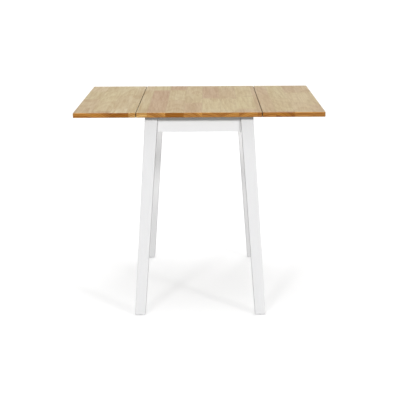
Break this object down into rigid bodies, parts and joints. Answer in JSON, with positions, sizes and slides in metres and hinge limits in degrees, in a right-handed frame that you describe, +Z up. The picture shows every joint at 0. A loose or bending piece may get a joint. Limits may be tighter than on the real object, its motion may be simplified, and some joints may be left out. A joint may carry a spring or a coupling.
{
  "type": "drop-leaf table",
  "caption": "Square-cornered drop-leaf dining table with its leaves raised: block-glued wooden top with a clear lacquer on a white frame with splayed, tapered legs.",
  "frame": {"origin": "on the floor under the middle of the table", "axes": "+X towards the right leaf, across both hinge lines; +Y towards the back, along the hinge lines; +Z up"},
  "size_m": [0.9, 0.7844, 0.75],
  "materials": {
    "top_wood": "block-glued hardwood under clear satin lacquer",
    "white_frame": "white satin lacquer on wood",
    "hinge_steel": "zinc-plated steel",
    "fastener_steel": "zinc-plated steel",
    "glide_plastic": "moulded plastic"
  },
  "bodies": {
    "frame": {"centre_rail": "white_frame", "centre_top": "top_wood", "front_apron": "white_frame", "front_left_corner_plate": "fastener_steel", "front_left_glide": "glide_plastic", "front_left_hanger_bolt": "fastener_steel", "front_left_leg": "white_frame", "front_left_leg_nut": "fastener_steel", "front_right_corner_plate": "fastener_steel", "front_right_glide": "glide_plastic", "front_right_hanger_bolt": "fastener_steel", "front_right_leg": "white_frame", "front_right_leg_nut": "fastener_steel", "front_top_fixing": "fastener_steel", "left_apron": "white_frame", "left_arm_bracket": "fastener_steel", "left_arm_pin": "fastener_steel", "left_front_hinge_fixed_flap": "hinge_steel", "left_front_hinge_pin": "hinge_steel", "left_front_top_fixing": "fastener_steel", "left_middle_hinge_fixed_flap": "hinge_steel", "left_middle_hinge_pin": "hinge_steel", "left_rear_hinge_fixed_flap": "hinge_steel", "left_rear_hinge_pin": "hinge_steel", "left_rear_top_fixing": "fastener_steel", "rear_apron": "white_frame", "rear_left_corner_plate": "fastener_steel", "rear_left_glide": "glide_plastic", "rear_left_hanger_bolt": "fastener_steel", "rear_left_leg": "white_frame", "rear_left_leg_nut": "fastener_steel", "rear_right_corner_plate": "fastener_steel", "rear_right_glide": "glide_plastic", "rear_right_hanger_bolt": "fastener_steel", "rear_right_leg": "white_frame", "rear_right_leg_nut": "fastener_steel", "rear_top_fixing": "fastener_steel", "right_apron": "white_frame", "right_arm_bracket": "fastener_steel", "right_arm_pin": "fastener_steel", "right_front_hinge_fixed_flap": "hinge_steel", "right_front_hinge_pin": "hinge_steel", "right_front_top_fixing": "fastener_steel", "right_middle_hinge_fixed_flap": "hinge_steel", "right_middle_hinge_pin": "hinge_steel", "right_rear_hinge_fixed_flap": "hinge_steel", "right_rear_hinge_pin": "hinge_steel", "right_rear_top_fixing": "fastener_steel"},
    "left_leaf": {"left_arm_catch": "fastener_steel", "left_front_hinge_leaf_flap": "hinge_steel", "left_leaf": "top_wood", "left_middle_hinge_leaf_flap": "hinge_steel", "left_rear_hinge_leaf_flap": "hinge_steel"},
    "right_leaf": {"right_arm_catch": "fastener_steel", "right_front_hinge_leaf_flap": "hinge_steel", "right_leaf": "top_wood", "right_middle_hinge_leaf_flap": "hinge_steel", "right_rear_hinge_leaf_flap": "hinge_steel"},
    "left_arm": {"left_support_arm": "white_frame"},
    "right_arm": {"right_support_arm": "white_frame"}
  },
  "joints": [
    {"name": "left_leaf_fold", "type": "hinge", "parent": "frame", "child": "left_leaf", "pos_m": [-0.225, 0, 0.7285], "axis": [0, -1, 0], "range_deg": [0, 90]},
    {"name": "right_leaf_fold", "type": "hinge", "parent": "frame", "child": "right_leaf", "pos_m": [0.225, 0, 0.7285], "axis": [0, 1, 0], "range_deg": [0, 90]},
    {"name": "left_arm_swing", "type": "hinge", "parent": "frame", "child": "left_arm", "pos_m": [-0.204, 0, 0.692], "axis": [0, -1, 0], "range_deg": [0, 103]},
    {"name": "right_arm_swing", "type": "hinge", "parent": "frame", "child": "right_arm", "pos_m": [0.204, 0, 0.692], "axis": [0, 1, 0], "range_deg": [0, 103]}
  ],
  "couplings": [
    {"joint": "left_arm_swing", "follows": "left_leaf_fold", "ratio": 1.1429},
    {"joint": "right_arm_swing", "follows": "right_leaf_fold", "ratio": 1.1429}
  ]
}
